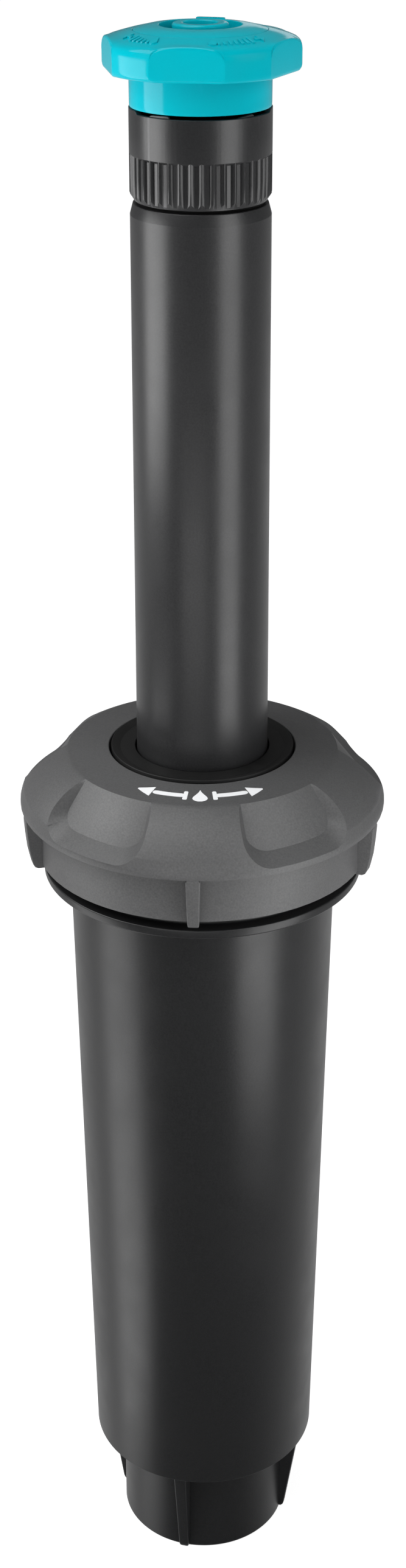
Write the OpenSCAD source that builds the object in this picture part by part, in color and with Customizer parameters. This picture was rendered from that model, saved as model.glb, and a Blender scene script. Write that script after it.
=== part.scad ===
// Pop-up lawn sprinkler, drawn with the riser raised.
// Z runs up the riser, z = 0 is the rim of the threaded inlet, and -Y is the front.
// Every size is in millimetres and every angle in degrees, counted from the front
// towards +X.

/* [Inlet] */
// Outer radius of the inlet socket
inlet_r = 14.15; // [13.9:0.05:14.5]
// Height of the inlet socket, up to the floor of the housing
inlet_h = 18.4; // [18:0.1:19]
// Radius of the inlet bore, the crest radius of a half inch pipe thread
inlet_bore_r = 9.3; // [9.2:0.05:9.4]
// Depth of the inlet bore
inlet_bore_h = 16; // [14:0.5:16]
// Number of stiffening ribs round the inlet
inlet_rib_count = 4; // [3:1:6]
// Width of one inlet rib
inlet_rib_w = 1.9; // [1.6:0.1:2.2]

/* [Housing] */
// Outer radius of the housing at its floor
shell_low_r = 18.9; // [18.7:0.1:19.2]
// Outer radius of the housing just under the flange
shell_top_r = 21.45; // [21.3:0.05:21.7]
// Thickness of the housing wall
shell_wall = 2; // [1.8:0.1:2.2]
// Radius of the flange under the cap
flange_r = 25.65; // [25:0.05:26]
// Height of the top face of the flange
flange_z = 129.9; // [129.5:0.1:130.2]
// Thickness of the flange
flange_h = 1.5; // [1.2:0.1:1.8]
// Radius of the neck that carries the cap thread
neck_r = 23.4; // [23.2:0.1:23.5]
// Height of the top rim of the neck
neck_z = 144.1; // [143.8:0.1:144.1]

/* [Cap] */
// Height of the top of the cap, at the edge of its hole
cap_z = 149.6; // [149.4:0.1:149.8]
// Radius of the hole that the riser comes through
cap_hole_r = 14.85; // [14.7:0.05:15]
// Largest radius of the cap, at its rim
cap_rim_r = 29.2; // [29:0.1:29.5]
// Radius of the skirt under the rim
cap_skirt_r = 26.6; // [26.4:0.1:26.8]
// Height of the lower edge of the skirt
cap_skirt_z = 131.95; // [131.8:0.05:132.2]
// Number of raised petals, each with a grip rib under it
petal_count = 5; // [4:1:6]
// Angle of the front petal
petal_turn = -2.9; // [-10:0.1:10]
// Angle that one recess between two petals takes
recess_span = 39.6; // [34:0.2:42]

/* [Riser] */
// Outer radius of the riser tube
riser_r = 10.4; // [10.35:0.01:10.42]
// Wall thickness of the riser tube
riser_wall = 2; // [1.6:0.1:2.2]
// Height of the shoulder that the nozzle screws down to
riser_z = 236.7; // [236.5:0.1:236.9]
// How far the riser sinks into the housing
riser_travel = 105; // [100:1:105]

/* [Nozzle] */
// Outer radius of the fluted collar
collar_r = 10.43; // [10.4:0.01:10.44]
// Height of the top edge of the collar
collar_z = 250.57; // [250.4:0.01:250.6]
// Number of flutes round the collar
flute_count = 40; // [30:1:48]
// Radius of the lobes of the adjusting head
head_r = 14.58; // [14.4:0.02:14.7]
// Number of flats round the adjusting head
flat_count = 5; // [4:1:6]
// Angle that one flat takes
flat_span = 43.2; // [40:0.2:46]
// Angle of the front flat
flat_turn = -8.1; // [-20:0.1:20]
// Height of the top of the throw knob
knob_z = 262.35; // [262.2:0.05:262.5]

/* [Spring] */
// Mean radius of the spring coil
coil_r = 13.4; // [13.2:0.1:13.6]
// Diameter of the spring wire
wire_d = 0.9; // [0.8:0.05:1]
// Number of turns in the spring
coil_turns = 9; // [7:1:9]

/* [Hidden] */
$fn = 96;

black = "#2b2c2e";
grey = "#66686b";
teal = "#00b3c3";
rubber = "#1b1b1c";
steel = "#b9bcc0";
white = "#d9dadb";

// Housing
floor_z = inlet_h + shell_wall;          // inside floor of the housing
cavity_low_r = shell_low_r - shell_wall;
cavity_top_r = shell_top_r - shell_wall;
cavity_top_z = flange_z - 4;
port_r = 7;                              // water passage through the floor
flange_low_z = flange_z - flange_h;
neck_bore_r = 20;
neck_edge = 0.5;                         // bevel on the rim of the neck
neck_bore_z = flange_z + 1;
thread_crest_r = 24.5;
thread_pitch = 3;
thread_turns = 3;
thread_low_z = flange_z + 3.2;
thread_foot = 0.9;                       // half width of a crest where it leaves the neck
thread_top = 0.3;                        // half width of its top
inlet_edge = 0.8;                        // bevel that leads a pipe into the bore
inlet_rib_low_r = 14.9;
inlet_rib_top_r = 17.7;
inlet_rib_turn = -14;
guide_count = 4;
guide_w = 1.6;
guide_r = 15.6;                          // inner edge of the upright guides
guide_z = 138;
oring_groove_z = 142;
oring_groove_h = 1.7;
oring_groove_r = 22.9;
oring_wire_r = 0.75;

// Cap
break_r = 21.6;                          // edge where the flat top turns down
break_z = 149;
rim_top = [28.85, 142.55];
rim_low_z = 140.4;
petal_bend = 20;                         // half angle of the petal's arc
recess_foot = [27.2, 143.4];             // lower edge of a recess floor
recess_lip = [29.14, 141.75];            // where its ledge meets the rim
cap_bore_r = 24.9;
cap_bore_z = 143.9;
cap_seat_r = 23.4;
cap_seat_z = 145.4;
cap_roof_r = 19;
cap_roof_z = 147.4;
grip_w = 2;                              // width of a grip rib
grip_low_z = 131.3;

// Seal and spring seat
seal_r = 14.5;
seal_z = 150;
seal_bevel = [13.07, 149.5];
seal_lip_r = 10.5;
lip_low_z = 146.2;                       // lower edge of the lip that wipes the riser
lip_root_r = 12.8;
seal_flange_r = 22.9;
seal_gap = 0.05;                         // lets the cap turn on the seal
seat_h = 2.2;
seat_r = 19.8;
seat_step_r = 13.9;
seat_low_z = neck_z - seat_h;

// Riser foot and guide
foot_gap = 0.3;                          // left under the foot when the riser is down
foot_z = floor_z + foot_gap + riser_travel;
foot_h = 2.3;
foot_r = 14.8;
click_count = 36;
click_depth = 0.6;
guide_ring_z = foot_z + foot_h + 0.3;
guide_ring_h = 3;
guide_ring_r = 16.4;
guide_arm_span = 28;                     // angle that one arm takes
spring_z = guide_ring_z + guide_ring_h;

// Riser top, filter and nozzle
riser_bore_r = riser_r - riser_wall;
riser_neck_r = 8.9;
riser_neck_z = 242.5;
riser_neck_bore_r = 6.9;
basket_r = 6.6;
basket_h = 28;
basket_rim_h = 0.8;
basket_bore_r = 5.4;
basket_window_w = 3;
gasket_h = 0.8;
throttle_z = 239;                        // underside of the throttle seat
throttle_h = 3.4;
throttle_r = 5.3;
throttle_hole_r = 2.2;
screen_r = 5.35;
screen_wall = 0.25;
web_z = riser_neck_z + basket_rim_h + gasket_h;
web_h = 1.8;
collar_low_z = 237.2;
riser_oring_r = 9.5;
collar_edge = 0.7;                       // bevel under the flutes
collar_bore_r = 9.1;
collar_cup_r = 9.2;
flute_top_z = 244;
flute_depth = 0.45;
slot_from = -64;                         // spray slot, from this angle
slot_to = 74;
slot_h = 0.38;
core_r = 3.6;
core_bore_r = 1.56;
core_z = 257.4;
core_flange_z = web_z + web_h;
core_flange_r = 5.6;
head_oring_z = 252.5;
head_oring_wire_r = 0.45;
clip_z = 256.5;
clip_h = 0.45;
clip_r = 4.9;
clip_groove_r = 3.2;
clip_opening = 60;                       // gap in the clip, in degrees
port_count = 6;
port_mid_r = 7.6;

// Head
head_low_z = 255.66;
head_break = [13.7, 260.25];             // where the domed top meets the shoulder
skirt_r = 10.34;
skirt_z = 250.65;
skirt_bore_r = 8.6;
disc_r = 9.7;
disc_seat_r = 9.75;
disc_edge_z = 261.43;
disc_low_z = 258.4;
hollow_r = 5.95;                         // hollow round the throw knob
hollow_z = 262.07;
knob_r = 4.09;
knob_bore_r = 2.47;
knob_low_z = 258.8;
knob_bore_h = 2.4;
knob_edge = 0.4;
pin_r = 1.5;
pin_cone_r = 2;
hub_bore_r = 4.1;
hub_z = 256.2;
hub_low_z = 251.6;
head_web_z = 255.3;

// Points along an arc from a to b that bulges to the left of the way from a to b.
function arc_points(a, b, half, steps) =
    let (
        way = (b - a) / norm(b - a),
        side = [-way[1], way[0]],
        bend_r = norm(b - a) / 2 / sin(half),
        centre = (a + b) / 2 - side * bend_r * cos(half)
    )
    [for (i = [0 : steps]) let (t = half * (2 * i / steps - 1))
        centre + bend_r * (side * cos(t) + way * sin(t))];

// Solid turned about Z from an outline of [radius, height] points.
module turned(outline) {
    rotate_extrude() polygon(outline);
}

// Ring with square edges.
module ring(outer_r, inner_r, low_z, high_z) {
    turned([[inner_r, low_z], [outer_r, low_z], [outer_r, high_z], [inner_r, high_z]]);
}

// Upright plate that stands out along the given angle, from an outline of
// [radius, height] points.
module fin(outline, width, angle) {
    rotate([0, 0, angle - 90]) rotate([90, 0, 0])
        translate([0, 0, -width / 2]) linear_extrude(width) polygon(outline);
}

// Slice of a turned solid between two angles.
module slice(outline, from, to) {
    rotate([0, 0, from - 90]) rotate_extrude(angle = to - from) polygon(outline);
}

// ---------------------------------------------------------------- housing

module housing_shell() {
    turned([
        [inlet_bore_r + inlet_edge, 0], [inlet_r - 0.3, 0], [inlet_r, 0.4], [inlet_r, inlet_h],
        [shell_low_r, inlet_h], [shell_top_r, flange_low_z - 0.8],
        [shell_top_r + 0.8, flange_low_z], [flange_r, flange_low_z], [flange_r, flange_z],
        [neck_r, flange_z], [neck_r, neck_z - neck_edge], [neck_r - neck_edge, neck_z],
        [neck_bore_r, neck_z], [neck_bore_r, neck_bore_z], [cavity_top_r, cavity_top_z],
        [cavity_low_r, floor_z], [port_r, floor_z], [port_r, inlet_bore_h],
        [inlet_bore_r, inlet_bore_h], [inlet_bore_r, inlet_edge]
    ]);
}

module inlet_rib(angle) {
    fin([[13.5, 0.7], [14.5, 0.15], [inlet_rib_low_r, 0.9], [inlet_rib_top_r, inlet_h],
         [inlet_rib_top_r, inlet_h + 0.3], [13.5, inlet_h + 0.3]], inlet_rib_w, angle);
}

// Upright inside the housing that keeps the guide ring from turning.
module upright(angle) {
    fin([[guide_r, floor_z - 0.3], [cavity_low_r + 0.6, floor_z - 0.3],
         [cavity_top_r + 0.6, cavity_top_z], [neck_bore_r + 0.6, neck_bore_z],
         [neck_bore_r + 0.6, guide_z - 1], [guide_r, guide_z - 4]], guide_w, angle);
}

module housing() {
    color(black) difference() {
        union() {
            housing_shell();
            for (i = [0 : inlet_rib_count - 1]) inlet_rib(inlet_rib_turn + i * 360 / inlet_rib_count);
            for (i = [0 : guide_count - 1]) upright(45 + i * 360 / guide_count);
            for (i = [0 : thread_turns - 1]) thread_crest(thread_low_z + i * thread_pitch);
        }
        ring(neck_r + 1, oring_groove_r, oring_groove_z - oring_groove_h / 2,
             oring_groove_z + oring_groove_h / 2);
    }
}

// One crest of the cap thread on the neck.
module thread_crest(z) {
    turned([[neck_r - 0.4, z - thread_foot], [thread_crest_r, z - thread_top],
            [thread_crest_r, z + thread_top], [neck_r - 0.4, z + thread_foot]]);
}

module oring(mean_r, wire_r, z) {
    rotate_extrude() translate([mean_r, z]) circle(wire_r);
}

module cap_oring() {
    color(rubber) oring(oring_groove_r + oring_wire_r + 0.05, oring_wire_r, oring_groove_z);
}

// ------------------------------------------------------------------- cap

module cap_body() {
    turned(concat(
        [[cap_hole_r, cap_roof_z - 1], [cap_hole_r, cap_z - 0.1], [cap_hole_r + 0.2, cap_z]],
        arc_points([break_r, break_z], rim_top, petal_bend, 8),
        [[cap_rim_r - 0.05, rim_top[1] - 0.7], [cap_rim_r, rim_low_z + 0.4],
         [cap_rim_r - 0.2, rim_low_z], [cap_skirt_r, rim_low_z], [cap_skirt_r, cap_skirt_z],
         [cap_bore_r, cap_skirt_z], [cap_bore_r, cap_bore_z], [cap_seat_r, cap_seat_z],
         [cap_roof_r, cap_seat_z], [cap_roof_r, cap_roof_z - 1]]
    ));
}

// Everything above the floor of one recess.
module recess(angle) {
    top = break_z + 0.45;
    slice([[break_r - 0.5, top], recess_foot, recess_lip, [31, 140.2], [31, cap_z + 2],
           [break_r - 0.5, cap_z + 2]],
          angle - recess_span / 2, angle + recess_span / 2);
}

module grip(angle) {
    fin([[cap_skirt_r - 0.6, cap_skirt_z + 0.3], [cap_skirt_r - 0.1, grip_low_z + 0.1],
         [27.1, grip_low_z], [27.9, 131.9], [28.4, 133.3], [29.05, rim_low_z - 0.2],
         [29.05, rim_low_z + 0.4], [cap_skirt_r - 0.6, rim_low_z + 0.4]], grip_w, angle);
}

module screw_cap() {
    pitch = 360 / petal_count;
    color(grey) union() {
        difference() {
            cap_body();
            for (i = [0 : petal_count - 1]) recess(petal_turn + (i + 0.5) * pitch);
        }
        for (i = [0 : petal_count - 1]) grip(petal_turn + i * pitch);
    }
}

// ------------------------------------------------- seal, seat and spring

module wiper_seal() {
    color(rubber) turned([
        [seal_lip_r, lip_low_z], [seal_lip_r, seal_z - 1.2], [seal_lip_r + 0.2, seal_z - 0.35],
        seal_bevel, [seal_r, seal_z], [seal_r, cap_seat_z - seal_gap],
        [seal_flange_r, cap_seat_z - seal_gap],
        [seal_flange_r, neck_z], [lip_root_r + 0.6, neck_z], [lip_root_r, seal_z - 2.2],
        [seal_lip_r + 0.9, seal_z - 2.2], [seal_lip_r + 0.6, lip_low_z]
    ]);
}

module spring_seat() {
    color(white) turned([
        [riser_r + 0.4, seat_low_z], [seat_r, seat_low_z], [seat_r, neck_z],
        [seat_step_r, neck_z], [seat_step_r, neck_z - 1], [riser_r + 0.4, neck_z - 1]
    ]);
}

// The wire runs round the riser as one helix, ring by ring.
module return_spring() {
    steps = 22;
    sides = 7;
    rise = (seat_low_z - spring_z - wire_d - 0.1) / coil_turns;
    low_z = spring_z + wire_d / 2 + 0.05;
    last = steps * coil_turns;
    points = [for (i = [0 : last], j = [0 : sides - 1]) let (
        turn = 360 * i / steps,
        side = 360 * j / sides,
        out = coil_r + wire_d / 2 * cos(side)
    ) [out * cos(turn), out * sin(turn), low_z + rise * i / steps + wire_d / 2 * sin(side)]];
    walls = [for (i = [0 : last - 1], j = [0 : sides - 1]) let (k = (j + 1) % sides)
        [i * sides + j, i * sides + k, (i + 1) * sides + k, (i + 1) * sides + j]];
    start_cap = [[for (j = [0 : sides - 1]) sides - 1 - j]];
    end_cap = [[for (j = [0 : sides - 1]) last * sides + j]];
    color(steel) polyhedron(points, concat(walls, start_cap, end_cap));
}

// ----------------------------------------------------------- guide, riser

// Ring that slides on the uprights. Two arms reach down past the clicking foot.
module guide_ring() {
    arm_r = foot_r + 0.3;
    top = guide_ring_z + guide_ring_h;
    color(white) difference() {
        union() {
            ring(guide_ring_r, riser_r + 0.3, guide_ring_z, top);
            for (angle = [0, 180])
                slice([[arm_r, foot_z + 0.6], [guide_ring_r, foot_z + 0.6],
                       [guide_ring_r, guide_ring_z + 0.1], [arm_r, guide_ring_z + 0.1]],
                      angle - guide_arm_span / 2, angle + guide_arm_span / 2);
        }
        for (i = [0 : guide_count - 1]) fin([
            [guide_r - 0.4, foot_z], [guide_ring_r + 1, foot_z],
            [guide_ring_r + 1, top + 1], [guide_r - 0.4, top + 1]
        ], guide_w + 0.8, 45 + i * 360 / guide_count);
    }
}

// Foot with a notch for each click of the ratchet.
module riser_foot() {
    step = 360 / click_count;
    rim = [for (i = [0 : click_count - 1], tooth = [[0, 0], [0.55, 0], [0.78, click_depth]])
        let (turn = step * (i + tooth[0]), out = foot_r - tooth[1])
        [out * cos(turn), out * sin(turn)]];
    translate([0, 0, foot_z]) linear_extrude(foot_h) polygon(rim);
}

module riser_tube() {
    color(black) difference() {
        union() {
            riser_foot();
            turned([[0, foot_z], [riser_r, foot_z], [riser_r, riser_z - 1.7],
                    [riser_r - 0.45, riser_z], [riser_neck_r, riser_z],
                    [riser_neck_r, riser_neck_z], [0, riser_neck_z]]);
        }
        turned([[0, foot_z - 1], [riser_bore_r, foot_z - 1], [riser_bore_r, riser_z - 3],
                [riser_neck_bore_r, riser_z - 1.5], [riser_neck_bore_r, riser_neck_z + 1],
                [0, riser_neck_z + 1]]);
    }
}

// ------------------------------------------------------ filter and nozzle

// Basket under the nozzle, with long windows behind the screen.
module filter_basket() {
    windows = 8;
    low_z = riser_neck_z - basket_h;
    color(white) difference() {
        turned([[0, low_z], [basket_r - 0.6, low_z], [basket_r, low_z + 1],
                [basket_r, riser_neck_z], [riser_neck_r - 0.1, riser_neck_z],
                [riser_neck_r - 0.1, riser_neck_z + basket_rim_h],
                [basket_bore_r, riser_neck_z + basket_rim_h], [basket_bore_r, low_z + 1.4],
                [0, low_z + 1.4]]);
        for (i = [0 : windows - 1]) rotate([0, 0, i * 360 / windows])
            translate([4, -basket_window_w / 2, low_z + 3])
                cube([5, basket_window_w, basket_h - 12]);
    }
}

module filter_screen() {
    low_z = riser_neck_z - basket_h;
    color(steel) ring(screen_r, screen_r - screen_wall, low_z + 2, riser_neck_z - 5);
}

// Seat that the flow pin closes on to shorten the throw.
module throttle_seat() {
    top = throttle_z + throttle_h;
    color(white) turned([[throttle_hole_r, throttle_z], [throttle_r, throttle_z],
                         [throttle_r, top], [throttle_hole_r + 1.2, top],
                         [throttle_hole_r, top - 1.4]]);
}

module nozzle_gasket() {
    color(rubber) ring(riser_neck_r - 0.1, 6.2, riser_neck_z + basket_rim_h, web_z);
}

module riser_oring() {
    color(rubber) ring(riser_oring_r, riser_neck_r, riser_z, collar_low_z);
}

// Cut of one flute between two lands of the collar.
module flute(angle) {
    span = 360 / flute_count;
    slice([[collar_r - flute_depth, collar_low_z - 1], [collar_r + 1, collar_low_z - 1],
           [collar_r + 1, flute_top_z], [collar_r - flute_depth, flute_top_z]],
          angle - span * 0.3, angle + span * 0.3);
}

module nozzle_collar() {
    color(black) difference() {
        turned([
            [collar_bore_r, collar_low_z], [collar_r - collar_edge, collar_low_z],
            [collar_r, collar_low_z + 1], [collar_r, collar_z], [collar_cup_r, collar_z],
            [collar_cup_r, core_flange_z], [core_r + 0.4, core_flange_z], [core_r + 0.4, web_z],
            [collar_bore_r, web_z]
        ]);
        for (i = [0 : flute_count - 1]) flute(i * 360 / flute_count + 1);
        slice([[collar_cup_r - 1, collar_z - slot_h], [collar_r + 1, collar_z - slot_h],
               [collar_r + 1, collar_z + 1], [collar_cup_r - 1, collar_z + 1]], slot_from, slot_to);
        for (i = [0 : port_count - 1]) rotate([0, 0, i * 360 / port_count])
            translate([port_mid_r, 0, web_z - 1]) cylinder(h = web_h + 2, r = 0.8);
    }
}

// Stem on which the head turns, with a skirt that throws the water out at the slot.
module nozzle_core() {
    color(black) difference() {
        turned([
            [0, web_z - 0.6], [core_r, web_z - 0.6], [core_r, core_flange_z],
            [core_flange_r, core_flange_z], [core_flange_r, core_flange_z + 1],
            [core_r, core_flange_z + 2.4], [core_r, head_oring_z - 0.5],
            [core_r - 0.5, head_oring_z - 0.5], [core_r - 0.5, head_oring_z + 0.5],
            [core_r, head_oring_z + 0.5], [core_r, clip_z - 0.05], [clip_groove_r, clip_z - 0.05],
            [clip_groove_r, clip_z + clip_h + 0.05], [core_r, clip_z + clip_h + 0.05],
            [core_r - 0.2, core_z], [0, core_z]
        ]);
        translate([0, 0, web_z - 2]) cylinder(h = core_z - web_z + 4, r = core_bore_r);
    }
}

module head_oring() {
    color(rubber) oring(core_r - 0.5 + head_oring_wire_r + 0.02, head_oring_wire_r, head_oring_z);
}

module head_clip() {
    in = clip_groove_r + 0.05;
    color(steel) slice([[in, clip_z], [clip_r, clip_z], [clip_r, clip_z + clip_h],
                        [in, clip_z + clip_h]], clip_opening / 2 - 180, 180 - clip_opening / 2);
}

// ------------------------------------------------------------------ head

// Flat-sided outline of the adjusting head: flats with round lobes between them.
module head_outline() {
    pitch = 360 / flat_count;
    rim = [for (i = [0 : flat_count - 1], j = [0 : 6]) let (
        turn = flat_turn - 90 + i * pitch + flat_span / 2 + (pitch - flat_span) * j / 6
    ) head_r * [cos(turn), sin(turn)]];
    polygon(rim);
}

module arc_ring() {
    top_arc = arc_points([disc_seat_r, disc_edge_z], head_break, 3, 4);
    color(teal) difference() {
        union() {
            intersection() {
                translate([0, 0, head_low_z - 1]) linear_extrude(8) head_outline();
                turned(concat(
                    [[0, head_low_z], [head_r - 0.75, head_low_z],
                     [head_r - 0.22, head_low_z + 0.3], [head_r, head_low_z + 1],
                     [head_r, 259.1], [head_r - 0.2, 259.7]],
                    [for (i = [4 : -1 : 0]) top_arc[i]],
                    [[0, disc_edge_z]]
                ));
            }
            ring(skirt_r, skirt_bore_r, skirt_z, head_low_z + 0.2);
        }
        turned([[0, skirt_z - 1], [skirt_bore_r, skirt_z - 1], [skirt_bore_r, head_web_z],
                [6, head_web_z], [6, hub_low_z], [hub_bore_r, hub_low_z], [hub_bore_r, hub_z],
                [disc_seat_r - 1.2, hub_z], [disc_seat_r - 1.2, disc_low_z - 0.05],
                [disc_seat_r, disc_low_z - 0.05], [disc_seat_r, disc_edge_z + 1],
                [0, disc_edge_z + 1]]);
    }
}

module top_disc() {
    tab_w = 4.3;
    tab_turn = -12.8;
    color(teal) union() {
        turned([[knob_r + 0.3, disc_low_z], [disc_r, disc_low_z], [disc_r, disc_edge_z],
                [8, 261.83], [hollow_r, hollow_z], [hollow_r, disc_low_z + 1],
                [knob_r + 0.3, disc_low_z + 1]]);
        rotate([0, 0, tab_turn]) translate([-tab_w / 2, hollow_r + 0.25, 261.3])
            cube([tab_w, 0.9, 0.98]);
    }
}

module throw_knob() {
    color(teal) turned([
        [0, knob_low_z], [knob_r, knob_low_z], [knob_r, knob_z - knob_edge],
        [knob_r - knob_edge, knob_z], [knob_bore_r, knob_z],
        [knob_bore_r, knob_z - knob_bore_h], [0, knob_z - knob_bore_h]
    ]);
}

// Pin that the throw knob turns. Its cone meets the throttle seat.
module flow_pin() {
    low_z = throttle_z + 0.2;
    color(steel) turned([[0, low_z], [0.6, low_z], [pin_cone_r, low_z + 2.4],
                         [pin_cone_r, low_z + 3.2], [pin_r, low_z + 3.8],
                         [pin_r, knob_low_z], [0, knob_low_z]]);
}

housing();
cap_oring();
screw_cap();
wiper_seal();
spring_seat();
return_spring();
guide_ring();
riser_tube();
filter_basket();
filter_screen();
throttle_seat();
nozzle_gasket();
riser_oring();
nozzle_collar();
nozzle_core();
head_oring();
head_clip();
arc_ring();
top_disc();
throw_knob();
flow_pin();
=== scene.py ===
import math

import bmesh
import bpy
from mathutils import Matrix, Vector


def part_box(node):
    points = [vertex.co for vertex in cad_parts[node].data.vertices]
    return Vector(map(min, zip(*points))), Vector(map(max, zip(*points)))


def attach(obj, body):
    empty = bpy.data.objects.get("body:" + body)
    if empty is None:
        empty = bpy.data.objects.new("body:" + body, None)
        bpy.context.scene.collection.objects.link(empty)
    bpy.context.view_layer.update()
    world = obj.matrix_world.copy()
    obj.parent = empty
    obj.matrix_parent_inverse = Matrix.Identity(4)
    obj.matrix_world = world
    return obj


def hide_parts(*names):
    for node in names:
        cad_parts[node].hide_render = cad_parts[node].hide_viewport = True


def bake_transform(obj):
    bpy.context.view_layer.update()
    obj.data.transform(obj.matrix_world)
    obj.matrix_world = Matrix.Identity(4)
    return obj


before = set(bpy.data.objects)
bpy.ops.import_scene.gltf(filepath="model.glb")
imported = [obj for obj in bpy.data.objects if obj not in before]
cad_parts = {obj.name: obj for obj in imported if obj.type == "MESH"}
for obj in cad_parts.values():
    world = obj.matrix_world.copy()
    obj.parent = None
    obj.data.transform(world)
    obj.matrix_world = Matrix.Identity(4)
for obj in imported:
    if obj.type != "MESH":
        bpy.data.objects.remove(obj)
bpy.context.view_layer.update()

# Shapes are given in mm in the part's own frame: an outline is a list of (radius, height) or
# (radius, height, fillet radius) points, and an angle is in degrees from the front.
MM = 0.001
TAU = 2 * math.pi
WELD_M = 1e-7
TINY_EDGE_M = 1e-8


# ------------------------------------------------------------ mesh helpers

def mix(a, b, t):
    return a + (b - a) * t


def at(r, z, phi):
    """Point in metres from a radius and height in mm and an angle in degrees from the front."""
    a = math.radians(phi)
    return (r * math.sin(a) * MM, -r * math.cos(a) * MM, z * MM)


def make(name, shape, body, material, nodes=(), sharp=32.0):
    """A visible piece from a shape. Edges that bend more than sharp degrees stay crisp."""
    mesh = bpy.data.meshes.new(name)
    mesh.from_pydata(shape.verts, [], shape.faces)
    bm = bmesh.new()
    bm.from_mesh(mesh)
    bmesh.ops.remove_doubles(bm, verts=bm.verts, dist=WELD_M)
    bmesh.ops.dissolve_degenerate(bm, edges=bm.edges, dist=TINY_EDGE_M)
    bmesh.ops.recalc_face_normals(bm, faces=bm.faces)
    bm.to_mesh(mesh)
    bm.free()
    for p in mesh.polygons:
        p.use_smooth = True
    mesh.set_sharp_from_angle(angle=math.radians(sharp))
    piece = bpy.data.objects.new(name, mesh)
    bpy.context.scene.collection.objects.link(piece)
    piece.data.materials.append(material)
    if body:
        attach(piece, body)
    if nodes:
        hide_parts(*nodes)
    return piece


class Shape:
    """Vertices and faces that several closed shells are gathered in."""

    def __init__(self):
        self.verts, self.faces = [], []

    def rows(self, rows, close_rows=True, close_cols=True):
        """A grid of points: rows of equal length, joined to each other by quads."""
        base = len(self.verts)
        n, m = len(rows), len(rows[0])
        for row in rows:
            self.verts.extend(row)
        for i in range(n if close_rows else n - 1):
            for j in range(m if close_cols else m - 1):
                a, b = base + i * m, base + (i + 1) % n * m
                k = (j + 1) % m
                self.faces.append((a + j, b + j, b + k, a + k))
        return base

    def cap(self, base, row, m, flip=False):
        """One face over a row of m points."""
        ids = [base + row * m + j for j in range(m)]
        self.faces.append(tuple(reversed(ids)) if flip else tuple(ids))

    def loft(self, sections):
        """A closed shell through equal loops, with both ends capped."""
        m = len(sections[0])
        base = self.rows(sections, close_rows=False)
        self.cap(base, 0, m, True)
        self.cap(base, len(sections) - 1, m)

    def lathe(self, outline, steps):
        """A closed outline of (radius, height) turned through a full circle."""
        self.rows([[at(r, z, 360 * i / steps) for r, z in outline] for i in range(steps)])


def rounded(corners, steps=4):
    """A closed outline from (x, y) or (x, y, radius) corners, with the corners filleted."""
    out = []
    n = len(corners)
    most = 0.49  # of a side that one fillet may take
    for i, corner in enumerate(corners):
        x, y = corner[:2]
        radius = corner[2] if len(corner) > 2 else 0
        if not radius:
            out.append((x, y))
            continue
        a = Vector(corners[i - 1][:2]) - Vector((x, y))
        b = Vector(corners[(i + 1) % n][:2]) - Vector((x, y))
        half = a.angle(b) / 2
        back = min(radius / math.tan(half), a.length * most, b.length * most)
        radius = back * math.tan(half)
        inward = (a.normalized() + b.normalized()).normalized()
        centre = Vector((x, y)) + inward * (radius / math.sin(half))
        start = Vector((x, y)) + a.normalized() * back - centre
        end = Vector((x, y)) + b.normalized() * back - centre
        turn = start.angle_signed(end)
        for k in range(steps + 1):
            p = centre + Matrix.Rotation(-turn * k / steps, 2) @ start
            out.append((p.x, p.y))
    return out


def helix(shape, section, low_z, pitch, turns, root_r):
    """A thread ridge: a section of (radius, height) points swept up a right-handed helix. It
    sinks to root_r at both ends."""
    steps = 72  # to a turn
    fade = 0.12  # of a turn
    rings = []
    for i in range(int(steps * turns) + 1):
        t = i / steps
        grow = min(1.0, t / fade, (turns - t) / fade)
        rise, tall = max(grow, 0.02), max(grow, 0.3)
        rings.append([at(root_r + (r - root_r) * rise, low_z + pitch * t + z * tall, 360 * t)
                      for r, z in section])
    shape.loft(rings)


def along(points, s):
    """Point at the share s of a polyline's length."""
    total = [0.0]
    for p, q in zip(points, points[1:]):
        total.append(total[-1] + math.dist(p, q))
    want = min(max(s, 0), 1) * total[-1]
    for i in range(len(points) - 1):
        if want <= total[i + 1] or i == len(points) - 2:
            span = total[i + 1] - total[i]
            t = (want - total[i]) / span if span else 0
            return tuple(mix(a, b, t) for a, b in zip(points[i], points[i + 1]))


def share_at(line, r):
    """Share of an outward polyline's length where it reaches the radius r."""
    done = 0.0
    total = sum(math.dist(p, q) for p, q in zip(line, line[1:]))
    for p, q in zip(line, line[1:]):
        if r < q[0]:
            return (done + math.dist(p, q) * (r - p[0]) / (q[0] - p[0])) / total
        done += math.dist(p, q)
    return 1.0


# --------------------------------------------------------------- materials

# Depth of the bumps in metres, the scale of the cloudy tone, and the pointiness at which an edge starts
# to turn pale and is fully pale: partly wear, partly a painted highlight along crisp edges.
GRAIN_DEPTH_M = 0.00006
LINE_DEPTH_M = 0.00003
PLASTIC_CLOUD = 140
METAL_CLOUD = 220
WORN_HIGHLIT_LOW, WORN_HIGHLIT_HIGH = 0.54, 0.64


def new_material(name):
    material = bpy.data.materials.new(name)
    material.use_nodes = True
    tree = material.node_tree
    return material, tree, tree.nodes["Principled BSDF"]


def noise_node(tree, coords, scale, detail, roughness):
    node = tree.nodes.new("ShaderNodeTexNoise")
    node.inputs["Scale"].default_value = scale
    node.inputs["Detail"].default_value = detail
    node.inputs["Roughness"].default_value = roughness
    tree.links.new(coords, node.inputs["Vector"])
    return node.outputs["Fac"]


def ramp(tree, value, low, high, out_low, out_high):
    node = tree.nodes.new("ShaderNodeMapRange")
    node.inputs["From Min"].default_value = low
    node.inputs["From Max"].default_value = high
    node.inputs["To Min"].default_value = out_low
    node.inputs["To Max"].default_value = out_high
    tree.links.new(value, node.inputs["Value"])
    return node.outputs["Result"]


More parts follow.
